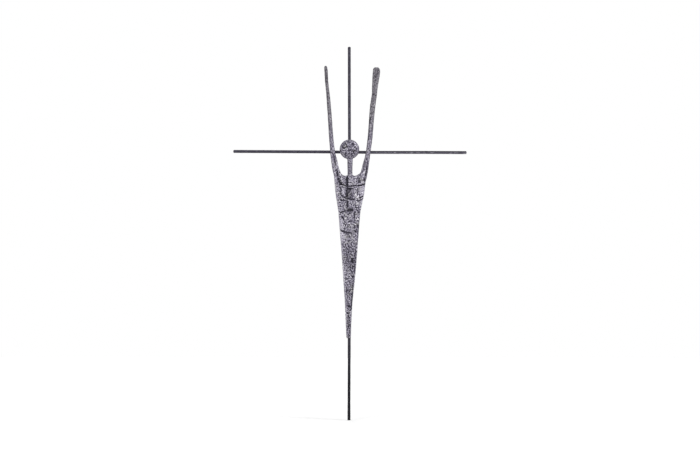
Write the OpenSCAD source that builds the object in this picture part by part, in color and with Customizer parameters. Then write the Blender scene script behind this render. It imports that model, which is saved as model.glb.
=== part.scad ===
// A thin grave cross of two round bars, lapped where they cross, with a slender
// cast figure fixed to its front. The foot of the upright goes in the ground, so
// the origin is at the foot, the front faces -Y and the cross stands along +Z.

/* [Bars] */
// Diameter of the round bar that both pieces are cut from
bar_d = 6; // [5:0.25:8]
// Height of the upright above the ground
upright_len = 800; // [640:10:1000]
// Length of the crossbar
cross_len = 500; // [300:10:700]
// Height of the crossbar above the ground, at the upright
cross_up = 575; // [475:0.5:620]
// How far the crossbar's middle lies to the right of the upright
cross_shift = 1.5; // [0:0.5:6]
// How far the crossbar drops towards the right, in degrees
cross_tilt = 0.3; // [0:0.05:1.5]
// Length of the dome on a free bar end
dome_len = 2; // [1:0.25:2.5]
// Clearance round a bar where it is lapped or let in
fit_gap = 0.1; // [0.05:0.05:0.3]

/* [Body] */
// Drop from the crossbar to the shoulder line
shoulder_drop = 52; // [43:0.5:63]
// Length of the body, from the shoulder line to its tip
body_len = 346.5; // [280:0.5:420]
// Width across the shoulders
shoulder_w = 71; // [64:1:80]
// Width across the chest
chest_w = 61; // [54:1:70]
// Width across the hips
hip_w = 41; // [34:1:48]
// Width across the knees
knee_w = 25; // [20:1:30]
// Width of the tip
tip_w = 9.5; // [9:0.5:14]
// Thickness of the body at the chest
chest_deep = 12; // [9:0.5:16]
// Thickness of the body at the tip
tip_deep = 6; // [5:0.5:9]
// Thickness left along the edges of the body
edge_deep = 3; // [2:0.25:4]
// Depth that the bars are let into the figure's back
let_in = 1; // [0.5:0.25:1.25]

/* [Head] */
// Diameter of the round head
head_d = 42; // [36:1:46]
// Thickness of the head
head_deep = 14; // [10:0.5:18]
// Height of the head's middle above the crossbar
head_up = 5; // [0:0.5:8]
// How far the head's middle lies to the right of the upright
head_shift = 0.4; // [0:0.1:2]
// Width of the neck
neck_w = 11; // [9:0.5:14]
// Thickness of the neck
neck_deep = 9; // [7:0.5:11]

/* [Arms] */
// Height of the left hand's tip above the shoulder line
left_rise = 235.5; // [190:0.5:285]
// Height of the right hand's tip above the shoulder line
right_rise = 232.5; // [190:0.5:285]
// Distance from the upright to the left hand
left_reach = 50; // [44:1:60]
// Distance from the upright to the right hand
right_reach = 58.5; // [48:0.5:70]
// Width of an arm above the elbow
arm_w = 9; // [7:0.5:11]
// Thickness of an arm
arm_deep = 8.5; // [7:0.5:10]
// Breadth of a hand
hand_w = 15.5; // [13:0.5:18]
// Thickness of a hand
hand_deep = 6; // [4:0.5:7]

/* [Carving] */
// Width of the seams cut across the body
seam_w = 2.4; // [1.6:0.2:3.2]
// Width of the raised straps and folds
strap_w = 4.4; // [3.2:0.2:6]
// Diameter of the raised bosses
boss_d = 5.5; // [4:0.5:7]
// Depth of the ripple over the head
ripple = 0.5; // [0:0.1:1]

/* [Hidden] */
iron = "#4c4b53";
casting = "#87828f";
bar_r = bar_d / 2;
back = let_in - bar_r;               // y of the figure's flat back
shoulder_z = cross_up - shoulder_drop;
groove_r = bar_r + fit_gap;
lap_w = bar_d + 2 * fit_gap;         // length of the lap cut in each bar
round_fn = 64;
bead_fn = 8;
rim = 2.5;                           // how far the shoulders' top edge is rounded
sink = 0.3;                          // share of a strap that stays under the skin

// Sections of the body: share of the length down, width, middle's shift to the right
BODY = [
    [-0.001, shoulder_w - 7, 2.4],
    [0.008, shoulder_w - 1, 2.5],
    [0.035, (shoulder_w + chest_w) / 2 + 0.7, 1.6],
    [0.110, chest_w, 1.2],
    [0.220, (chest_w + hip_w) / 2 - 4, 0.3],
    [0.330, hip_w, 0],
    [0.480, (hip_w + knee_w) / 2, 0.3],
    [0.630, knee_w, -0.3],
    [0.780, (knee_w + tip_w) / 2 - 1.4, -1.3],
    [0.925, tip_w + 1.6, -1.6],
    [1.000, tip_w - 0.3, -1.4]
];

// Sections of an arm: share of the rise up, share of the reach out, width, thickness
LEFT_ARM = [
    [-0.090, 0.44, arm_w + 4, arm_deep - 1],
    [-0.015, 0.38, 2 * arm_w + 8, arm_deep],
    [0.012, 0.485, 2 * arm_w, arm_deep + 1],
    [0.034, 0.535, 2 * arm_w - 2, arm_deep + 1],
    [0.085, 0.60, 1.5 * arm_w + 0.2, arm_deep + 1],
    [0.150, 0.65, arm_w + 3.8, arm_deep + 0.8],
    [0.205, 0.705, arm_w + 1.5, arm_deep + 0.5],
    [0.340, 0.77, arm_w, arm_deep],
    [0.480, 0.815, arm_w - 0.6, arm_deep],
    [0.670, 0.88, arm_w - 1, arm_deep - 0.5],
    [0.765, 0.92, arm_w - 2, arm_deep - 1],
    [0.860, 0.97, hand_deep + 0.6, hand_w - 5],
    [0.950, 0.99, hand_deep + 0.9, hand_w - 3],
    [0.990, 1.01, hand_deep - 0.2, hand_w - 6],
    [1.000, 1.01, hand_deep / 2, hand_deep]
];
RIGHT_ARM = [
    [-0.090, 0.44, arm_w + 4, arm_deep - 1],
    [-0.015, 0.41, 2 * arm_w + 9, arm_deep],
    [0.012, 0.48, 2 * arm_w + 2, arm_deep + 1],
    [0.034, 0.55, 2 * arm_w - 3, arm_deep + 1],
    [0.115, 0.61, 1.5 * arm_w - 0.5, arm_deep + 1],
    [0.200, 0.68, arm_w + 1.2, arm_deep + 0.5],
    [0.340, 0.755, arm_w + 1.2, arm_deep],
    [0.490, 0.805, arm_w + 1.2, arm_deep - 0.5],
    [0.640, 0.855, arm_w + 2.2, arm_deep - 1],
    [0.750, 0.92, arm_w + 2, hand_deep + 0.5],
    [0.790, 0.93, arm_w + 2.3, hand_deep + 0.3],
    [0.860, 0.955, hand_w - 2, hand_deep],
    [0.950, 1.00, hand_w, hand_deep - 0.5],
    [0.985, 1.00, hand_w - 1.5, hand_deep - 1],
    [1.000, 1.00, hand_w / 2, hand_deep / 2]
];

// Carving on the body. A point is a share of the half width across and a share of the
// length down. Seams run from edge to edge, folds stand proud and cuts are sunk.
SEAMS = [
    [[-0.98, 0.050], [-0.80, 0.052], [-0.45, 0.056], [0, 0.063], [0.5, 0.060],
     [0.80, 0.054], [0.98, 0.050]],
    [[-0.98, 0.150], [-0.80, 0.150], [-0.50, 0.148], [-0.1, 0.138], [0.3, 0.142],
     [0.80, 0.132], [0.98, 0.126]],
    [[-0.98, 0.334], [-0.80, 0.336], [-0.50, 0.342], [0.1, 0.352], [0.55, 0.342],
     [0.80, 0.344], [0.98, 0.345]]
];
FOLDS = [
    [[0.35, 0.006], [0.40, 0.060], [0.45, 0.110], [0.57, 0.190]],
    [[-0.92, 0.020], [-0.62, 0.055]],
    [[0.60, 0.158], [0.80, 0.148], [0.96, 0.138]],
    [[-0.80, 0.235], [-0.45, 0.218], [-0.25, 0.224]],
    [[-0.55, 0.285], [-0.45, 0.330]],
    [[0.45, 0.240], [0.50, 0.300], [0.48, 0.335]],
    [[0.30, 0.420], [0.45, 0.500], [0.50, 0.580], [0.45, 0.660]],
    [[-0.50, 0.420], [-0.35, 0.520], [-0.20, 0.640]]
];
CUTS = [
    [[-0.20, 0.006], [-0.19, 0.060], [-0.19, 0.120], [-0.18, 0.190]],
    [[-0.12, 0.070], [0.05, 0.085], [0.02, 0.110]],
    [[-0.62, 0.065], [-0.55, 0.110], [-0.28, 0.145]],
    [[0.56, 0.060], [0.55, 0.115]],
    [[0.50, 0.200], [0.80, 0.198], [0.98, 0.196]],
    [[0.10, 0.360], [0.05, 0.400]],
    [[0.40, 0.545], [0.42, 0.600]],
    [[0.45, 0.690], [0.50, 0.780]]
];
BOSSES = [[0.02, 0.218], [0.78, 0.219], [0.56, 0.133]];

// One row between two others on a smooth curve through four
function between(a, b, c, d, t) =
    0.5 * (2 * b + (c - a) * t + (2 * a - 5 * b + 4 * c - d) * t * t
        + (3 * b - a - 3 * c + d) * t * t * t);

// A list of sections with more of them put in between
function smooth(rows, parts) = [
    for (i = [0 : len(rows) - 2], j = [0 : parts - 1])
        between(rows[max(i - 1, 0)], rows[i], rows[i + 1],
                rows[min(i + 2, len(rows) - 1)], j / parts),
    rows[len(rows) - 1]
];

// The body's width, shift and thickness at a share of the length down
function body_width(t) = lookup(t, [for (row = BODY) [row[0], row[1]]]);
function body_shift(t) = lookup(t, [for (row = BODY) [row[0], row[2]]]);
function body_deep(t) = chest_deep + (tip_deep - chest_deep) * min(max(t, 0), 1);

// Thickness of a rounded section at a share of the half width from its middle
function arch(deep, edge, share) =
    edge + (deep - edge) * pow(max(1 - share * share, 0), 0.4);

// A flat-backed rounded section as a ring of points at one height
function section(middle, width, deep, edge, z, steps) = [
    [middle - width / 2, back, z],
    for (i = [0 : steps])
        let (share = -cos(180 * i / steps))
            [middle + share * width / 2, back - arch(deep, edge, share), z],
    [middle + width / 2, back, z]
];

// A point on the body's front skin
function on_body(p) =
    let (width = body_width(p[1]))
        [body_shift(p[1]) + p[0] * width / 2,
         back - arch(body_deep(p[1]), edge_deep, p[0]),
         shoulder_z - p[1] * body_len];

// A closed skin over a list of rings that have the same number of points
module skin(rings) {
    n = len(rings[0]);
    last = len(rings) - 1;
    sides = [
        for (i = [0 : last - 1], j = [0 : n - 1])
            let (k = (j + 1) % n, a = i * n, b = a + n)
                each [[a + j, b + k, a + k], [a + j, b + j, b + k]]
    ];
    ends = [
        [for (j = [0 : n - 1]) j],
        [for (j = [n - 1 : -1 : 0]) last * n + j]
    ];
    polyhedron([for (ring = rings) each ring], concat(sides, ends));
}

// A round-ended stroke along the body's skin, moved in by the given depth
module stroke(points, width, depth) {
    for (i = [0 : len(points) - 2])
        hull()
            for (p = [points[i], points[i + 1]])
                translate(on_body(p) + [0, depth, 0])
                    sphere(d = width, $fn = bead_fn);
}

// The line that the crossbar lies on, through the upright at the crossing
module on_cross() {
    translate([0, 0, cross_up])
        rotate([0, cross_tilt, 0])
            children();
}

// Half the outline of a bar along its length, with a dome at each chosen end
function bar_outline(length, foot_dome) = [
    [0, 0],
    if (foot_dome)
        for (a = [15 : 15 : 75]) [bar_r * sin(a), dome_len * (1 - cos(a))],
    if (!foot_dome) [bar_r, 0],
    if (foot_dome) [bar_r, dome_len],
    for (a = [0 : 15 : 75]) [bar_r * cos(a), length - dome_len * (1 - sin(a))],
    [0, length]
];

module round_bar(length, foot_dome) {
    rotate_extrude($fn = round_fn)
        polygon(bar_outline(length, foot_dome));
}

// The half of a bar that it gives up to the other where they cross
module lap(across, along, side) {
    translate([-across / 2, side < 0 ? -bar_d : 0, -along / 2])
        cube([across, bar_d, along]);
}

module upright_bar() {
    color(iron)
        difference() {
            round_bar(upright_len, false);
            on_cross()
                lap(2 * bar_d, lap_w, -1);
        }
}

module cross_bar() {
    color(iron)
        difference() {
            on_cross()
                translate([cross_shift - cross_len / 2, 0, 0])
                    rotate([0, 90, 0])
                        round_bar(cross_len, true);
            translate([0, 0, cross_up])
                lap(lap_w, 2 * bar_d, 1);
        }
}

module trunk() {
    skin([
        for (row = [for (i = [len(BODY) - 1 : -1 : 0]) BODY[i]])
            section(row[2], row[1], body_deep(row[0]) - (row[0] < 0 ? rim : 0),
                    edge_deep, shoulder_z - row[0] * body_len, 20)
    ]);
}

module arm(rows, rise, reach) {
    skin([
        for (row = smooth(rows, 2))
            section(row[1] * reach, row[2], row[3], row[3] * 0.35,
                    shoulder_z + row[0] * rise, 10)
    ]);
}

module neck() {
    rise = shoulder_drop + head_up;
    skin([
        for (row = [[-0.1, 16], [-0.01, 10], [0.015, 4], [0.05, -0.6], [0.2, -1],
                    [0.5, 0], [1, 1]])
            section(1.6, neck_w + row[1], neck_deep, neck_deep * 0.4,
                    shoulder_z + row[0] * rise, 10)
    ]);
}

// A low dome with a rounded rim and a light ripple over its face
module head() {
    rings = 9;
    spokes = 36;
    translate([head_shift, 0, cross_up + head_up])
        skin([
            for (i = [0 : rings])
                let (rise = i / rings, turn = 90 * (i - 1) / rings)
                    [for (j = [0 : spokes - 1])
                        let (a = 360 * j / spokes,
                             r = head_d / 2 * (i == 0 ? 1 : pow(cos(turn), 0.7)),
                             wave = sin(3 * a + 70 * i) * sin(110 * i) * rise)
                            [r * cos(a),
                             i == 0 ? back
                                 : back - 3 - (head_deep - 3) * sin(turn) - ripple * wave,
                             r * sin(a)]]
        ]);
}

module carving() {
    for (points = FOLDS)
        stroke(points, strap_w, sink * strap_w);
    for (p = BOSSES)
        translate(on_body(p))
            sphere(d = boss_d, $fn = 2 * bead_fn);
}

module cuts() {
    for (points = SEAMS)
        stroke(points, seam_w, 0);
    for (points = CUTS)
        stroke(points, seam_w, 0);
}

// The channels in the figure's back that the two bars lie in
module bar_channels() {
    cylinder(r = groove_r, h = upright_len, $fn = round_fn);
    on_cross()
        translate([-cross_len / 2, 0, 0])
            rotate([0, 90, 0])
                cylinder(r = groove_r, h = cross_len, $fn = round_fn);
}

module figure() {
    color(casting)
        difference() {
            union() {
                trunk();
                neck();
                head();
                arm(LEFT_ARM, left_rise, -left_reach);
                arm(RIGHT_ARM, right_rise, right_reach);
                carving();
            }
            cuts();
            bar_channels();
        }
}

upright_bar();
cross_bar();
figure();
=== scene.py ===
"""A thin grave cross of blackened round bar with a slender grey cast figure.

Metres, except where a comment or docstring says millimetres. The origin is at the
upright's foot and the front faces -Y.
"""

import math

import bpy
import numpy as np
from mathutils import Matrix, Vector, noise


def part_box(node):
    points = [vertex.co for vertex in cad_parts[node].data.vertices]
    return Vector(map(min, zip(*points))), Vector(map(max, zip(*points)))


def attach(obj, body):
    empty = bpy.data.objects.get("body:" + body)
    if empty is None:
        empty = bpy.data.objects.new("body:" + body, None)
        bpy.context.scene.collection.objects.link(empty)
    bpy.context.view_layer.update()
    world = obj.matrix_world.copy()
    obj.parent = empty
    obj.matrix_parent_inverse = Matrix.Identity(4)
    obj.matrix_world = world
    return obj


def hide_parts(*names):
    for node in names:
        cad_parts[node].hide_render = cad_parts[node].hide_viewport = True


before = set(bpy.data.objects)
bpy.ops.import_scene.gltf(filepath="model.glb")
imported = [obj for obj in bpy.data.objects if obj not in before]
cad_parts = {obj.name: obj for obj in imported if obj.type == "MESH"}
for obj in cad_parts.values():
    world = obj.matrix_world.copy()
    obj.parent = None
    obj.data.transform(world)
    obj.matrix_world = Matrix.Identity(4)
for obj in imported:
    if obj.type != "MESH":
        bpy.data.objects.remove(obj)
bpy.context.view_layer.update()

MM = 0.001
BODY = "root"

upright_low, upright_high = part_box("upright_bar")
cross_low, cross_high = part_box("cross_bar")
tip_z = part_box("figure")[0].z
bar_middle_x = (upright_low.x + upright_high.x) / 2
crossing_z = (cross_low.z + cross_high.z) / 2

# From the crossing to the head's middle, and the head's edge and raised rim as distances
# from that middle between which they fade in. Millimetres.
HEAD_ACROSS, HEAD_UP = 0.4, 5.0
HEAD_EDGE = (20.5, 23)
HEAD_RIM = (15.0, 17.5)

# Across the figure, in millimetres: the busy stretch begins to the right of this.
BUSY_SIDE = (-13, -9)

# Heights in millimetres above the ground, over which one finish passes into the next.
TIP_DARK = (200, 260)          # darker below
TIP_ROUGH = (215, 260)         # rougher below
WAIST_BUSY = (290, 330)        # the roughest stretch begins
CHEST_BUSY = (375, 395)        # and ends
SKIN_CHANGE = (300, 400)       # sandy below, crumpled above
CHEST_PALE = (330, 400)        # paler above
ARMS = (526, 549)              # drawn into long strands above
UPPER_ARMS = (574, 614)        # darker and smoother above
HAND_LEAN = (722, 742)         # the right hand leans in above

# Carved work on the figure's front, as (across, up) in millimetres, counted from the
# upright's middle and from the ground. The seams run across the body.
SEAMS = [
    [(-21, 505), (-9, 502.5), (-7, 501), (3, 500), (6, 501), (13.5, 502.5)],
    [(18.5, 502), (22, 502), (33.5, 505.5)],
    [(-18, 471), (-7, 470)],
    [(17, 469), (24, 471), (29.5, 474.5)],
    [(21, 475.5), (31, 480)],
    [(-18, 407), (-12.5, 404.5), (-5, 402), (5, 400.5)],
    [(11, 406), (15.5, 402.5)],
    [(-19.5, 444), (-14, 446), (-8.5, 447.5)],
    [(-18.5, 485), (-16, 480.5), (-11, 477.5), (-6.5, 474.5)],
]
# Deep narrow hollows between the folds.
HOLLOWS = [
    [(-4, 521), (-4, 502)],
    [(-3.5, 475), (1.5, 473), (10.5, 473)],
    [(-4.5, 496.5), (5.5, 496)],
    [(-3.5, 494.5), (3.5, 494.5)],
    [(-0.5, 493), (-0.5, 489.5)],
    [(-5.5, 492), (-5, 478)],
    [(-4, 468.5), (-4, 457)],
    [(-3, 452), (6, 452), (7, 449)],
    [(-4.5, 448.5), (6.5, 448.5)],
    [(-15.5, 436), (-11.5, 430)],
    [(11, 444.5), (11, 434)],
    [(18.5, 418), (18.5, 413)],
    [(5.5, 346), (5.5, 339)],
    [(8, 346), (8, 339)],
    [(6.5, 329.5), (9, 329.5)],
    [(5.5, 308.5), (9, 307.5)],
    [(-2, 245.5), (2, 244)],
    [(-4.5, 230.5), (-3.5, 229)],
    [(-2.2, 223), (-1.8, 222)],
    [(-2.2, 202.5), (-1.8, 201)],
    [(-36, 572), (-33, 565), (-30, 554), (-29, 546)],
    [(-27, 537), (-25.5, 530), (-24, 523)],
    [(-23.5, 519), (-21.5, 512), (-20.5, 509), (-16, 505.5)],
    [(36, 560), (39, 555), (39.5, 549), (38, 543), (36, 532), (35, 523)],
    [(33, 516), (32.5, 513)],
    [(21, 518), (20.5, 508)],
]
# Shallow cuts and small pits.
CREASES = [
    [(-17.5, 499), (-7, 499)],
    [(-18.5, 498), (-18.5, 485)],
    [(-7, 517), (-6.5, 504)],
    [(16.5, 518), (16, 508)],
    [(17.5, 496), (17.5, 482)],
    [(13.5, 464), (13.5, 455), (21, 454.5)],
    [(17.5, 449.5), (21.5, 448), (21.5, 445.5), (18, 444.5)],
    [(-11.5, 452), (-9, 448)],
    [(-2, 441), (1, 442.5), (5, 443)],
    [(11, 427.5), (19.5, 427)],
    [(10, 424), (13.5, 421.5)],
    [(11, 417.5), (11, 412)],
    [(-1, 424), (4, 427)],
    [(-10, 419.5), (-5, 419.5)],
    [(-2.5, 418), (-2.5, 414)],
    [(-8.5, 398.5), (-4, 398.5)],
    [(-0.5, 395), (-0.5, 391)],
    [(-1.5, 384), (-0.5, 384)],
    [(-14, 378), (-14, 373)],
    [(15.5, 380), (14, 373), (11.5, 315)],
    [(9, 367), (9, 362)],
    [(2.5, 333.5), (2.5, 322)],
    [(6.5, 317), (6.5, 314)],
    [(-5, 304), (-4, 303)],
    [(0, 299), (0, 295)],
    # This crease also paints shade along the right edge.
    [(8.5, 300), (5, 248)],
    [(33.5, 555), (31, 541), (30, 534)],
    [(-45.7, 701), (-45.4, 698)],
    [(51.5, 698), (51, 696)],
    [(57, 696), (56.5, 694)],
    [(56, 737), (56, 735)],
    [(43.5, 647), (43.5, 638)],
    [(40, 608), (40, 602)],
]
# Narrow raised edges, brushed bright.
STRAPS = [
    [(-17, 501), (-8.5, 500.5)],
    [(-2.5, 498), (6.5, 498.5)],
    [(14.5, 519), (14.8, 504)],
    [(12, 488), (15, 474)],
    [(18.5, 480), (19, 474.5)],
    [(19, 505), (31, 510)],
    [(16, 468), (17, 458)],
    [(0.5, 438), (1, 438)],
    [(-8, 433), (-7.5, 433)],
    [(0.5, 421), (1, 420)],
    [(5, 411), (5, 410)],
    [(-4, 377), (-3.5, 377)],
    [(-37, 561), (-30, 527)],
    [(-26, 551), (-24.5, 544)],
    [(-24.5, 537), (-24, 536)],
    [(33, 534), (30, 521)],
]

# How the carved lines are cut: width, relief in millimetres, shade on the body, and what is
# added to that shade on the arms.
LINE_WORK = [
    (STRAPS, 1.3, 0.5, 0.30, -0.18),
    (SEAMS, 1.0, -1.0, -0.85, 0.0),
    (HOLLOWS, 1.2, -1.1, -0.9, 0.45),
    (CREASES, 1.0, -0.7, -0.5, 0.0),
]

# Patches that are darker or paler, as (across, up, half width, half height, shade), placed
# in the same way.
PATCHES = [
    # on the arms
    (60, 744, 4, 14, -0.10), (-48, 740, 5, 22, -0.10), (-38.5, 580, 4.5, 14, -0.12),
    (41, 574, 4.5, 15, -0.14), (-31.5, 555, 3.6, 20, -0.20), (37.5, 540, 3.2, 18, -0.13),
    (-25.5, 530, 2.4, 9, -0.14),
    # on the neck
    (1, 545, 7, 22, -0.15),
    # on the shoulders and chest
    (33, 515, 3, 5, -0.22), (-21, 512, 3, 6, -0.22), (5.5, 511, 6.5, 8, 0.12),
    (-4.6, 510, 2.6, 11, -0.24), (22, 505, 7, 9, -0.09), (0.7, 495.5, 6, 2.4, -0.26),
    (24, 492, 5, 9, 0.12), (-13, 490, 3.4, 8.5, 0.24), (-5, 486, 3, 12, -0.24),
    (3.5, 482, 7.5, 9, -0.22), (14.5, 480, 2.2, 8, 0.14), (18.8, 477, 1.7, 4, 0.30),
    (23, 474.8, 3.5, 1.2, 0.14), (3, 450.5, 6, 4, -0.36), (-13.5, 446, 5.5, 2, -0.16),
    (-14.5, 441.5, 2.5, 2.5, 0.12), (15, 430, 5, 1.4, 0.22), (-15.5, 423, 3.4, 9, 0.18),
    (16.5, 415, 3.4, 8, -0.16), (13, 404.5, 4, 3, -0.20), (-17, 403, 4, 14, 0.07),
    # on the hips and knees
    (-10.5, 393, 6, 7, 0.12), (1, 378, 8, 9, -0.07), (-2, 353, 8, 24, -0.14),
    (6.6, 342, 3.2, 5.5, -0.34), (7.8, 329, 2.6, 2.4, -0.34), (8, 322, 2.4, 16, -0.04),
    (-12, 318, 3.4, 16, 0.16), (8, 308, 3, 2.4, -0.30), (0, 302, 11, 11, 0.09),
    # on the tip
    (-3, 276, 7, 9, -0.15), (6.5, 256, 1.8, 14, -0.14), (-7, 250, 3, 11, -0.10),
    (0, 245, 3.4, 2.6, -0.26), (-4, 230, 2, 2, -0.60), (-2, 226, 9, 10, 0.08),
    (-2, 222.5, 1.8, 2, -0.60), (-2, 202, 1.9, 2, -0.60),
]

# The edges of the body that are left smooth, with painted light laid along them.
SMOOTH_PAINTED_LIT_EDGES = [
    [(-33, 519), (-29, 480), (-20, 406), (-15, 324), (-9, 244), (-6.5, 178)],
    [(31, 495), (27, 460)],
]

# Painted shade along the right edge.
PAINTED_SHADE_EDGES = [
    [(27, 458), (23, 428), (20, 402), (18, 384)],
    [(8, 266), (6, 248), (5, 238)],
    [(34, 498), (32, 484)],
]

# Small fields of the body that are left calm.
CALM_FIELDS = [
    [(-13, 494), (-13, 485)],
    [(-16, 428), (-16, 414)],
    [(24, 496), (24, 489)],
    [(-11, 396), (-11, 389)],
]

SMOOTH_PAINTED_LIT_EDGE_W, PAINTED_SHADE_EDGE_W, CALM_W = 3.8, 1.7, 3.4

# How the bars stand off straight lines, as (middle along the bar, reach, offset) in
# millimetres: the upright to the right, the crossbar upwards.
UPRIGHT_BENDS = [(560, 150, 0.45), (0, 120, -0.6)]
CROSS_BAR_BENDS = [(55, 75, -0.5), (0, 2000, -0.4)]

FLATS_LONG = 1.8    # how much longer than wide the forged flats on a bar are


# ---- Mesh work ----------------------------------------------------------------------


def link(piece):
    """Puts an object into the scene."""
    bpy.context.scene.collection.objects.link(piece)
    return piece


def points_of(mesh):
    flat = np.empty(len(mesh.vertices) * 3, np.float32)
    mesh.vertices.foreach_get("co", flat)
    return flat.reshape(-1, 3).astype(float)


def normals_of(mesh):
    flat = np.empty(len(mesh.vertices) * 3, np.float32)
    mesh.vertices.foreach_get("normal", flat)
    return flat.reshape(-1, 3).astype(float)


def move_to(mesh, points):
    mesh.vertices.foreach_set("co", points.astype(np.float32).ravel())
    mesh.update()


def worked_copy(node, name, voxel, passes, swell):
    """A fine closed mesh of a CAD node's own shape, with its facets eased away.

    swell gives back what the easing takes off a slender piece.
    """
    rough = link(bpy.data.objects.new(name + "_rough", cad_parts[node].data.copy()))
    remesh = rough.modifiers.new("remesh", "REMESH")
    remesh.mode = "VOXEL"
    remesh.voxel_size = voxel
    ease = rough.modifiers.new("ease", "SMOOTH")
    ease.factor = 0.5
    ease.iterations = passes
    ready = rough.evaluated_get(bpy.context.evaluated_depsgraph_get())
    mesh = bpy.data.meshes.new_from_object(ready)
    bpy.data.objects.remove(rough)
    mesh.name = name
    mesh.materials.clear()
    mesh.shade_smooth()
    move_to(mesh, points_of(mesh) + swell * normals_of(mesh))
    return link(bpy.data.objects.new(name, mesh))


def eased(mesh, values, passes):
    """One number a vertex, averaged in each pass with those of its neighbours."""
    ends = np.empty(len(mesh.edges) * 2, np.int32)
    mesh.edges.foreach_get("vertices", ends)
    a, b = ends.reshape(-1, 2).T
    count = np.bincount(np.concatenate([a, b]), minlength=len(mesh.vertices))
    out = values.copy()
    for _ in range(passes):
        total = np.zeros_like(out)
        np.add.at(total, a, out[b])
        np.add.at(total, b, out[a])
        out = (out + total / count) / 2
    return out


def keep_on(mesh, name, values):
    """Stores one number a vertex, which the materials read by name."""
    layer = mesh.attributes.new(name, "FLOAT", "POINT")
    layer.data.foreach_set("value", np.clip(values, 0, 1).astype(np.float32))


def ramp(values, low, high):
    """0 below low and 1 above high, with soft ends."""
    t = np.clip((values - low) / (high - low), 0, 1)
    return t * t * (3 - 2 * t)


def lumps(points, size, seed):
    """Soft random swelling between about -1 and 1, with features of the given size."""
    shift = Vector((seed * 3.1, seed * 7.7, seed * 1.3))
    return np.array([noise.noise(Vector(p) / size + shift) for p in points])


def cells(points, size, seed, stretch, steep):
    """Distance from the borders between random cells: 0 on a border, 1 well inside.

    stretch is how much taller than wide the cells are, and steep how fast they rise.
    """
    shift = Vector((seed * 5.3, seed * 2.9, seed * 8.1))
    out = np.empty(len(points))
    for i, p in enumerate(points):
        at = Vector((p[0] / size, p[1] / size, p[2] / (size * stretch)))
        near = noise.voronoi(at + shift)[0]
        out[i] = near[1] - near[0]
    return np.clip(out * steep, 0, 1)


def line_distance(across, up, line):
    """Distance in the front view from each point to a broken line."""
    best = np.full(len(across), 1e9)
    for (x0, z0), (x1, z1) in zip(line, line[1:]):
        dx, dz = x1 - x0, z1 - z0
        t = ((across - x0) * dx + (up - z0) * dz) / (dx * dx + dz * dz)
        t = np.clip(t, 0, 1)
        best = np.minimum(best, np.hypot(across - x0 - t * dx, up - z0 - t * dz))
    return best


def strokes(across, up, lines, width):
    """1 on the lines, falling away to 0 at about twice the width."""
    best = np.full(len(across), 1e9)
    for line in lines:
        best = np.minimum(best, line_distance(across, up, line))
    return np.exp(-((best / width) ** 2))


# ---- Figure -------------------------------------------------------------------------


def patches(across, up):
    """The shade that the patches add at each point."""
    total = np.zeros(len(across))
    for x, z, half_wide, half_high, shade in PATCHES:
        far = ((across - x) / half_wide) ** 2 + ((up - z) / half_high) ** 2
        total += shade * np.exp(-far ** 1.5)
    return total


def skins(at, arm, up):
    """The casting's random texture, in millimetres, on its front and on its plainer back."""
    wander = np.stack([lumps(at, size=7.0, seed=k) for k in (1, 2, 3)], axis=1) * 1.8
    strength = 1.0 + 0.5 * lumps(at, size=14.0, seed=8)
    crumple = cells(at + wander, size=5.2, seed=4, stretch=1.2, steep=2.4) - 0.6
    crackle = cells(at + 0.7 * wander, size=2.7, seed=5, stretch=1.1, steep=1.9) - 0.55
    strands = cells(at + 0.5 * wander, size=3.0, seed=10, stretch=3.6, steep=2.2) - 0.6
    swell = lumps(at, size=4.6, seed=6)
    tooth = lumps(at, size=2.1, seed=12)
    pits = -ramp(lumps(at, size=2.7, seed=7), 0.10, 0.45)

    crumpled = 0.40 * crumple + 0.38 * crackle + 0.3 * swell + 0.9 * pits + 0.35 * tooth
    sandy = 0.10 * crumple + 0.22 * crackle + 0.25 * swell + 0.8 * pits + 1.25 * tooth
    drawn = 0.5 * strands + 0.22 * crackle + 0.3 * swell + 0.5 * pits + 0.3 * tooth
    body = crumpled + (sandy - crumpled) * (1 - ramp(up, *SKIN_CHANGE))
    front = (body + (drawn - body) * arm) * strength
    back = 0.25 * swell + 0.16 * crackle + 0.15 * tooth + 0.3 * pits
    return front, back


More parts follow.
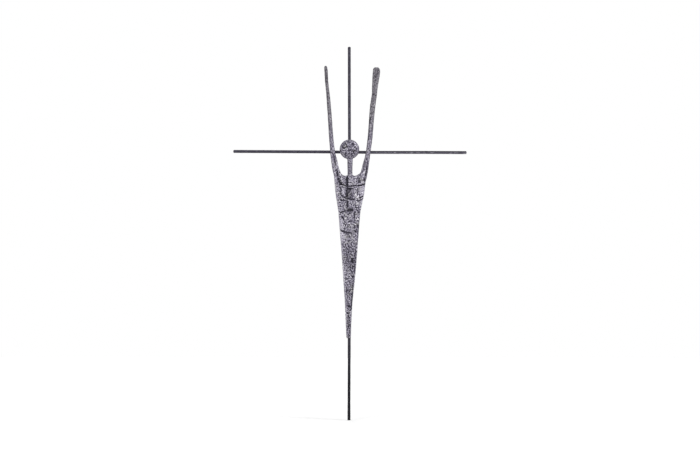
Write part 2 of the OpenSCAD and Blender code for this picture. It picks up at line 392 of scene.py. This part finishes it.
def figure_surface(points, normals):
    """Three numbers a point: texture relief and line relief, in millimetres, and shade."""
    at = points / MM
    across = at[:, 0] - bar_middle_x / MM
    up = at[:, 2] - upright_low.z / MM
    front = ramp(-normals[:, 1], -0.2, 0.5)
    # Faces turned from the front: partly unbrushed patina, partly painted shade where their
    # rounding turns from the light.
    unbrushed_and_side_shade = 1 - ramp(-normals[:, 1], 0.35, 0.95)

    centre_up = (crossing_z - upright_low.z) / MM + HEAD_UP
    from_centre = np.hypot(across - HEAD_ACROSS, up - centre_up)
    head = 1 - ramp(from_centre, *HEAD_EDGE)
    rim = head * ramp(from_centre, *HEAD_RIM)
    arm = ramp(up, *ARMS) * (1 - head)
    upper_arm = arm * ramp(up, *UPPER_ARMS)
    edges = strokes(across, up, SMOOTH_PAINTED_LIT_EDGES, SMOOTH_PAINTED_LIT_EDGE_W) * (1 - arm) * (1 - head)
    calm = strokes(across, up, CALM_FIELDS, CALM_W)
    calm = np.clip(calm + 0.65 * edges + 0.6 * rim, 0, 1)
    busy = ramp(up, *WAIST_BUSY) * (1 - ramp(up, *CHEST_BUSY)) * ramp(across, *BUSY_SIDE)

    rough = 1.0 + 0.5 * head + 0.5 * busy - 0.25 * arm - 0.15 * upper_arm
    rough += 0.35 * (1 - ramp(up, *TIP_ROUGH))
    rough *= 1 - 0.75 * calm
    skin, back = skins(at, arm, up)

    # edges lays painted light on the smooth edge bands.
    shade = patches(across, up) + 0.25 * edges + 0.08 * lumps(at, size=9.0, seed=9)
    # The sides turned from the front get painted shade, partly standing for unbrushed
    # patina.
    shade += 0.15 * arm - 0.18 * upper_arm - (0.08 + 0.12 * arm) * unbrushed_and_side_shade
    shade += 0.05 * ramp(up, *CHEST_PALE) * (1 - arm) * (1 - head)
    shade -= 0.12 * (1 - ramp(up, *TIP_DARK))
    # Painted shade along the right edge.
    shade -= 0.22 * strokes(across, up, PAINTED_SHADE_EDGES, PAINTED_SHADE_EDGE_W)
    blots = ramp(lumps(at, size=4.4, seed=13), 0.0, 0.3)
    shade += 0.04 * head - 0.5 * (head - rim) * blots

    lines = np.zeros(len(at))
    for drawn, width, relief, tone, arm_tone in LINE_WORK:
        stroke = strokes(across, up, drawn, width)
        lines += relief * stroke
        shade += (tone + arm_tone * arm) * stroke
    return skin * rough * front + back * (1 - front), lines * front, shade * front


def hand_lean(points):
    """How far the broad right hand leans in towards the upright at its end."""
    up = (points[:, 2] - upright_low.z) / MM
    right_hand = points[:, 0] > 40 * MM
    return 0.45 * MM * ramp(up, *HAND_LEAN) * right_hand


def make_figure():
    """The casting, with its texture and lines worked into the mesh."""
    piece = worked_copy("figure", "cast_figure", voxel=0.78 * MM, passes=5, swell=0.2 * MM)
    mesh = piece.data
    points, normals = points_of(mesh), normals_of(mesh)
    texture, lines, shade = figure_surface(points, normals)
    high_cap = 0.36
    height = np.minimum(texture - eased(mesh, texture, passes=30), high_cap)
    relief = 0.9 * MM * eased(mesh, texture + lines, passes=1)
    points += normals * relief[:, None]
    points[:, 0] -= hand_lean(points)
    move_to(mesh, points)
    keep_on(mesh, "high", 0.50 + 0.85 * height + shade)
    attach(piece, BODY)
    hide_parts("figure")
    return piece


# ---- Bars ---------------------------------------------------------------------------


def bowed(along, bends):
    """How far a bar stands off a straight line, from (middle, reach, offset) bends."""
    return sum(offset * np.exp(-((along - middle) / reach) ** 2)
               for middle, reach, offset in bends)


def make_bar(node, seed, bends, painted_sheen=0.0):
    """A bar with the faint flats, scale and bends that forging leaves.

    painted_sheen sets the strength of a painted highlight along the front of its right half
    and of painted shade on its top.
    """
    piece = worked_copy(node, node + "_forged", voxel=0.55 * MM, passes=3, swell=0.30 * MM)
    mesh = piece.data
    points, normals = points_of(mesh), normals_of(mesh)
    low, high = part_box(node)
    along = int(np.argmax(high - low))
    squeeze = np.ones(3)
    squeeze[along] = FLATS_LONG
    at = points / MM / squeeze
    flats = cells(at, size=6.0, seed=seed, stretch=1.0, steep=2.2) - 0.5
    scale = lumps(at, size=2.2, seed=seed + 1)
    # Painted highlight along the front of the right half, and painted shade on its top.
    sheen_and_top_shade = painted_sheen * ramp(points[:, 0] / MM, 15, 50)
    facing = ramp(-normals[:, 1], 0.2, 0.7) * ramp(-normals[:, 2], -0.35, 0.0)
    sheen_and_top_shade *= facing - 1.5 * ramp(normals[:, 2], 0.12, 0.42)
    keep_on(mesh, "high", 0.5 + 0.25 * flats + 0.2 * scale + sheen_and_top_shade)

    relief = (0.08 * flats + 0.05 * scale - 0.04) * MM
    points += normals * relief[:, None]
    points[:, along] = np.clip(points[:, along], low[along], high[along])
    points[:, 2 - along] += bowed(points[:, along] / MM, bends) * MM
    move_to(mesh, points)
    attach(piece, BODY)
    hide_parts(node)
    return piece


# ---- Materials ----------------------------------------------------------------------


class Nodes:
    """Short ways to add and join nodes in one tree."""

    def __init__(self, tree):
        self.tree = tree

    def add(self, kind, **values):
        node = self.tree.nodes.new(kind)
        for key, value in values.items():
            setattr(node, key, value)
        return node

    def join(self, source, target):
        self.tree.links.new(source, target)

    def feed(self, socket, value):
        """Links a socket to another, or sets it to a plain value."""
        if isinstance(value, bpy.types.NodeSocket):
            self.join(value, socket)
        else:
            socket.default_value = value

    def noise(self, coords, scale, detail, rough):
        node = self.add("ShaderNodeTexNoise")
        self.feed(node.inputs["Vector"], coords)
        self.feed(node.inputs["Scale"], scale)
        node.inputs["Detail"].default_value = detail
        node.inputs["Roughness"].default_value = rough
        return node.outputs["Fac"]

    def math(self, operation, a, b=0.0, clamp=False):
        node = self.add("ShaderNodeMath", operation=operation, use_clamp=clamp)
        self.feed(node.inputs[0], a)
        self.feed(node.inputs[1], b)
        return node.outputs[0]

    def remap(self, value, low, high, to_low=0.0, to_high=1.0):
        node = self.add("ShaderNodeMapRange")
        self.feed(node.inputs["Value"], value)
        for key, number in (("From Min", low), ("From Max", high),
                            ("To Min", to_low), ("To Max", to_high)):
            self.feed(node.inputs[key], number)
        return node.outputs["Result"]

    def colours(self, value, stops):
        node = self.add("ShaderNodeValToRGB")
        marks = node.color_ramp.elements
        while len(marks) < len(stops):
            marks.new(0.5)
        for mark, (place, colour) in zip(marks, stops):
            mark.position = place
            mark.color = (*colour, 1.0)
        self.feed(node.inputs["Fac"], value)
        return node.outputs["Color"]

    def mix(self, share, a, b):
        node = self.add("ShaderNodeMix", data_type="RGBA")
        self.feed(node.inputs["Factor"], share)
        self.feed(node.inputs["A"], a)
        self.feed(node.inputs["B"], b)
        return node.outputs["Result"]

    def place(self):
        """X, Y and Z of the point, in the object's own frame."""
        node = self.add("ShaderNodeSeparateXYZ")
        self.join(self.add("ShaderNodeTexCoord").outputs["Object"], node.inputs[0])
        return node.outputs


def screen(r, g, b):
    """A colour given as 0 to 255 screen values, as linear numbers."""
    return tuple((v / 255 / 12.92) if v <= 10.3 else ((v / 255 + 0.055) / 1.055) ** 2.4
                 for v in (r, g, b))


def metal_skin_group():
    """Shared by both irons: turns the stored height into tone, gloss and fine bump."""
    group = bpy.data.node_groups.new("metal_skin", "ShaderNodeTree")
    for name, start in (("Grain Size", 900.0), ("Grain Amount", 0.2),
                        ("Stain Size", 60.0), ("Stain Amount", 0.1)):
        socket = group.interface.new_socket(name, in_out="INPUT",
                                            socket_type="NodeSocketFloat")
        socket.default_value = start
    for name in ("Tone", "Roughness", "Height", "Stain"):
        group.interface.new_socket(name, in_out="OUTPUT", socket_type="NodeSocketFloat")
    n = Nodes(group)
    given = n.add("NodeGroupInput").outputs
    gives = n.add("NodeGroupOutput").inputs
    coords = n.add("ShaderNodeTexCoord").outputs["Object"]
    high = n.add("ShaderNodeAttribute", attribute_name="high").outputs["Fac"]
    grain = n.noise(coords, given["Grain Size"], detail=4.0, rough=0.65)
    stain = n.noise(coords, given["Stain Size"], detail=3.0, rough=0.6)
    grain_part = n.math("MULTIPLY", n.math("SUBTRACT", grain, 0.5), given["Grain Amount"])
    stain_part = n.math("MULTIPLY", n.math("SUBTRACT", stain, 0.5), given["Stain Amount"])
    tone = n.math("ADD", high, n.math("ADD", grain_part, stain_part), clamp=True)
    n.join(tone, gives["Tone"])
    n.join(n.remap(tone, 0.1, 0.9, 0.78, 0.42), gives["Roughness"])
    n.join(grain, gives["Height"])
    n.join(n.remap(stain, 0.5, 0.7), gives["Stain"])
    return group


def new_material(name):
    """A material with its node helper and its Principled shader."""
    material = bpy.data.materials.new(name)
    material.use_nodes = True
    n = Nodes(material.node_tree)
    shader = material.node_tree.nodes["Principled BSDF"]
    return material, n, shader


def place_skin(n, group, grain_size, grain, stain_size, stain):
    """Puts the shared skin into a material with its own values."""
    node = n.add("ShaderNodeGroup")
    node.node_tree = group
    for name, value in (("Grain Size", grain_size), ("Grain Amount", grain),
                        ("Stain Size", stain_size), ("Stain Amount", stain)):
        node.inputs[name].default_value = value
    return node.outputs


def add_bump(n, shader, height, distance, strength):
    bump = n.add("ShaderNodeBump")
    bump.inputs["Distance"].default_value = distance
    bump.inputs["Strength"].default_value = strength
    n.join(height, bump.inputs["Height"])
    n.join(bump.outputs["Normal"], shader.inputs["Normal"])


def casting_material(group):
    """Grey cast iron: dark in the hollows, brushed bright on the high places."""
    material, n, shader = new_material("brushed_casting")
    skin = place_skin(n, group, grain_size=800.0, grain=0.45, stain_size=90.0, stain=0.25)
    violet = n.colours(skin["Tone"], [
        (0.00, screen(22, 19, 32)),
        (0.25, screen(58, 53, 69)),
        (0.50, screen(111, 106, 121)),
        (0.75, screen(160, 156, 169)),
        (1.00, screen(212, 209, 217)),
    ])
    plain = n.colours(skin["Tone"], [
        (0.00, screen(26, 24, 28)),
        (0.25, screen(60, 57, 62)),
        (0.50, screen(114, 111, 115)),
        (0.75, screen(163, 161, 163)),
        (1.00, screen(213, 212, 212)),
    ])
    up = n.place()["Z"]
    arms = n.remap(up, crossing_z + 0.025, crossing_z + 0.085, 0.0, 0.7)
    bare = n.math("MAXIMUM", skin["Stain"], arms)
    n.join(n.mix(bare, violet, plain), shader.inputs["Base Color"])
    n.join(skin["Roughness"], shader.inputs["Roughness"])
    n.join(n.remap(skin["Tone"], 0.2, 0.8, 0.25, 0.6), shader.inputs["Metallic"])
    add_bump(n, shader, skin["Height"], distance=0.15 * MM, strength=0.7)
    return material


def bar_material(group):
    """Blackened forged bar, darker towards the ground and a little darker near the top."""
    material, n, shader = new_material("forged_bar")
    skin = place_skin(n, group, grain_size=700.0, grain=0.25, stain_size=45.0, stain=0.3)
    upper = n.colours(skin["Tone"], [
        (0.1, screen(42, 40, 50)),
        (0.5, screen(60, 57, 69)),
        (0.8, screen(82, 79, 91)),
        (1.0, screen(132, 130, 138)),
    ])
    lower = n.colours(skin["Tone"], [
        (0.1, screen(13, 12, 17)),
        (0.5, screen(22, 21, 27)),
        (0.9, screen(38, 37, 44)),
    ])
    shader.inputs["Specular IOR Level"].default_value = 0.3
    up = n.place()["Z"]
    above_tip = n.remap(up, tip_z - 0.10, tip_z + 0.10)
    near_top = n.remap(up, crossing_z + 0.06, upright_high.z, 0.0, 0.3)
    share = n.math("SUBTRACT", above_tip, near_top)
    n.join(n.mix(share, lower, upper), shader.inputs["Base Color"])
    n.join(skin["Roughness"], shader.inputs["Roughness"])
    n.join(n.remap(skin["Tone"], 0.2, 0.8, 0.2, 0.5), shader.inputs["Metallic"])
    add_bump(n, shader, skin["Height"], distance=0.08 * MM, strength=0.5)
    return material


# ---- Studio -------------------------------------------------------------------------


def path_is(n, *kinds):
    """1 for the named kinds of ray, else 0."""
    rays = n.add("ShaderNodeLightPath").outputs
    total = rays[kinds[0]]
    for kind in kinds[1:]:
        total = n.math("ADD", total, rays[kind], clamp=True)
    return total


def make_floor():
    """A pale floor that reads as white and keeps the shadow at the foot."""
    half = 1.6
    near, near_lift = 0.10, 0.09
    away, away_lift = 0.35, 0.31
    mesh = bpy.data.meshes.new("floor")
    mesh.from_pydata([(-half, -half, 0), (half, -half, 0), (half, half, 0),
                      (-half, half, 0)], [], [(0, 1, 2, 3)])
    floor = link(bpy.data.objects.new("floor", mesh))
    material = bpy.data.materials.new("pale_floor")
    material.use_nodes = True
    n = Nodes(material.node_tree)
    n.tree.nodes.clear()
    from_foot = n.add("ShaderNodeVectorMath", operation="LENGTH")
    n.join(n.add("ShaderNodeTexCoord").outputs["Object"], from_foot.inputs[0])
    place = n.place()
    # The key lamp stands at the right and near, so the lift grows to the left and back.
    lean = n.math("SUBTRACT", n.math("MULTIPLY", place["Y"], 0.04),
                  n.math("MULTIPLY", place["X"], 0.09))
    spread = n.remap(from_foot.outputs["Value"], near, away, near_lift, away_lift)
    lift = n.math("ADD", spread, lean)
    diffuse = n.add("ShaderNodeBsdfDiffuse")
    diffuse.inputs["Color"].default_value = (0.9, 0.9, 0.9, 1)
    glow = n.add("ShaderNodeEmission")
    n.join(n.math("MULTIPLY", lift, path_is(n, "Is Camera Ray")), glow.inputs["Strength"])
    both = n.add("ShaderNodeAddShader")
    n.join(diffuse.outputs[0], both.inputs[0])
    n.join(glow.outputs[0], both.inputs[1])
    n.join(both.outputs[0], n.add("ShaderNodeOutputMaterial").inputs["Surface"])
    mesh.materials.append(material)


def make_world():
    """Even soft light, with a white backdrop for the eye and for reflections."""
    world = bpy.data.worlds.new("studio")
    bpy.context.scene.world = world
    world.use_nodes = True
    n = Nodes(world.node_tree)
    sky = world.node_tree.nodes["Background"]
    sky.inputs["Color"].default_value = (1, 1, 1, 1)
    seen = path_is(n, "Is Camera Ray", "Is Glossy Ray", "Is Transmission Ray")
    n.join(n.remap(seen, 0, 1, 0.5, 1.0), sky.inputs["Strength"])


def make_lamp(name, place, size, power):
    """A round lamp that looks at the figure's chest."""
    data = bpy.data.lights.new(name, "AREA")
    data.shape = "DISK"
    data.size = size
    data.energy = power
    lamp = link(bpy.data.objects.new(name, data))
    lamp.location = place
    aim = Vector((0, 0, crossing_z * 0.75)) - lamp.location
    lamp.rotation_euler = aim.to_track_quat("-Z", "Y").to_euler()


def make_camera():
    """Straight on at half height, with the crossbar well inside the frame."""
    distance = 3.2
    frame_width = 1.5
    right = 1.6 * MM
    data = bpy.data.cameras.new("camera")
    data.sensor_width = 36.0
    data.lens = data.sensor_width * distance / frame_width
    camera = link(bpy.data.objects.new("camera", data))
    camera.location = (right, -distance, upright_high.z / 2)
    camera.rotation_euler = (math.radians(90), 0, 0)
    bpy.context.scene.camera = camera


def make_studio():
    bpy.context.scene.view_settings.view_transform = "Standard"
    make_world()
    make_camera()
    make_floor()
    make_lamp("key", (2.1, -0.9, 1.8), size=0.45, power=47)
    make_lamp("front", (-1.7, -1.9, 1.4), size=1.2, power=22)
    make_lamp("back", (-0.9, 2.4, 1.5), size=1.4, power=14)


def main():
    make_studio()
    skin = metal_skin_group()
    casting, blackened = casting_material(skin), bar_material(skin)
    make_figure().data.materials.append(casting)
    upright = make_bar("upright_bar", 11, UPRIGHT_BENDS)
    cross_bar = make_bar("cross_bar", 15, CROSS_BAR_BENDS, painted_sheen=0.32)
    for bar in (upright, cross_bar):
        bar.data.materials.append(blackened)


main()
